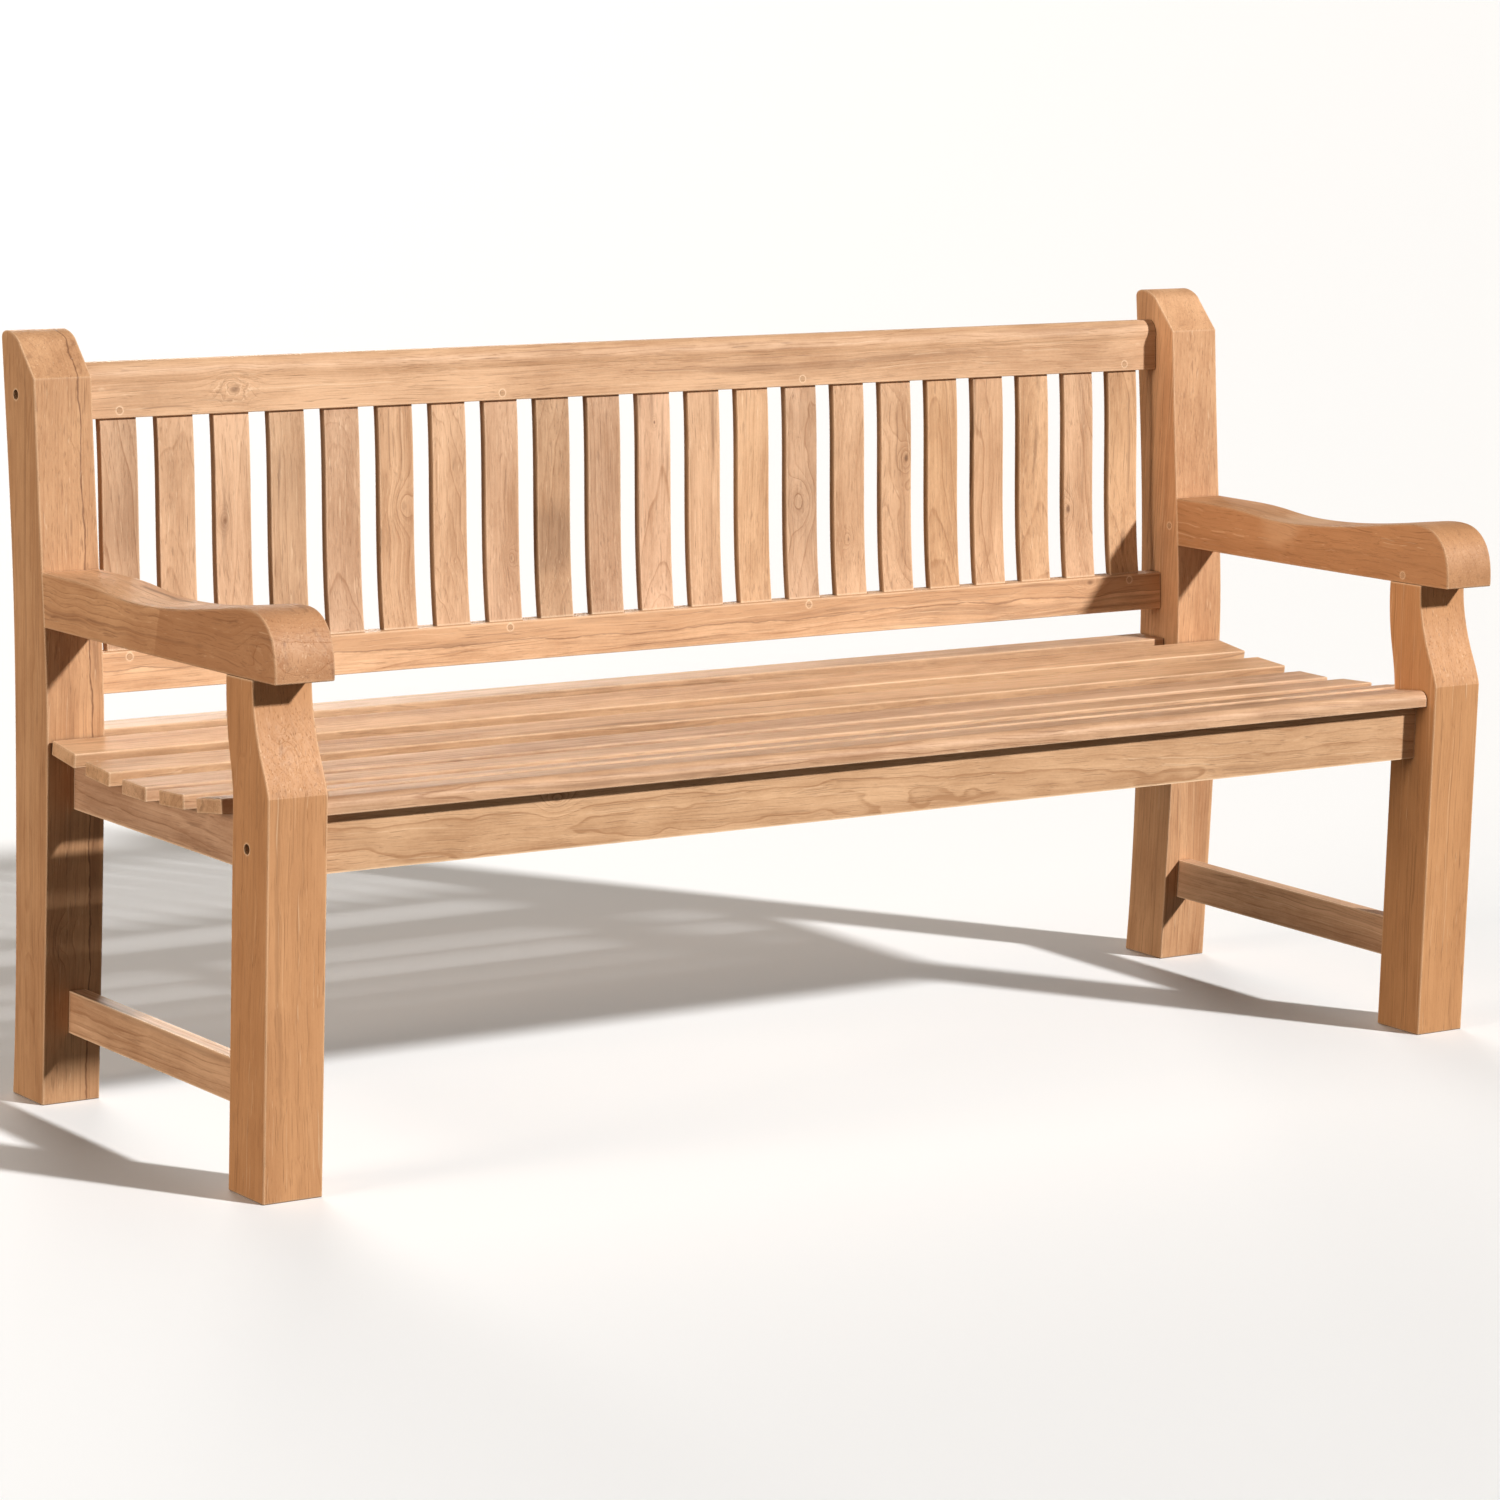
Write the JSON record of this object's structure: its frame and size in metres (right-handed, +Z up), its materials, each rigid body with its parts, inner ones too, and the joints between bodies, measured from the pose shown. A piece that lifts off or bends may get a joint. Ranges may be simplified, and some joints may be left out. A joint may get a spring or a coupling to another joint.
{
  "type": "garden bench",
  "caption": "Long slatted hardwood garden bench with shaped arms, dished slatted seat and upright bent back slats.",
  "frame": {"origin": "on the floor, at the middle of the bench's box", "axes": "+X along the bench, to the right of someone who looks at its front; +Y towards its back; +Z up"},
  "size_m": [1.8, 0.6437, 0.9133],
  "materials": {
    "teak": "sanded bare hardwood with straight grain, matt",
    "peg_wood": "end grain of hardwood pegs, matt",
    "fastener_metal": "dull plain steel"
  },
  "bodies": {
    "root": {"arm_left": "teak", "arm_pegs": "peg_wood", "arm_right": "teak", "back_leg_left": "teak", "back_leg_right": "teak", "back_slat_01": "teak", "back_slat_02": "teak", "back_slat_03": "teak", "back_slat_04": "teak", "back_slat_05": "teak", "back_slat_06": "teak", "back_slat_07": "teak", "back_slat_08": "teak", "back_slat_09": "teak", "back_slat_10": "teak", "back_slat_11": "teak", "back_slat_12": "teak", "back_slat_13": "teak", "back_slat_14": "teak", "back_slat_15": "teak", "back_slat_16": "teak", "back_slat_17": "teak", "back_slat_18": "teak", "back_slat_19": "teak", "back_slat_20": "teak", "back_slat_21": "teak", "barrel_nuts": "fastener_metal", "centre_seat_bearer": "teak", "frame_bolts": "fastener_metal", "front_apron": "teak", "front_leg_left": "teak", "front_leg_right": "teak", "lower_back_rail": "teak", "rear_seat_rail": "teak", "seat_dowels": "peg_wood", "seat_slat_1": "teak", "seat_slat_2": "teak", "seat_slat_3": "teak", "seat_slat_4": "teak", "seat_slat_5": "teak", "seat_slat_6": "teak", "seat_slat_7": "teak", "side_seat_rail_left": "teak", "side_seat_rail_right": "teak", "side_stretcher_left": "teak", "side_stretcher_right": "teak", "slat_pegs": "peg_wood", "top_rail": "teak"}
  },
  "joints": []
}
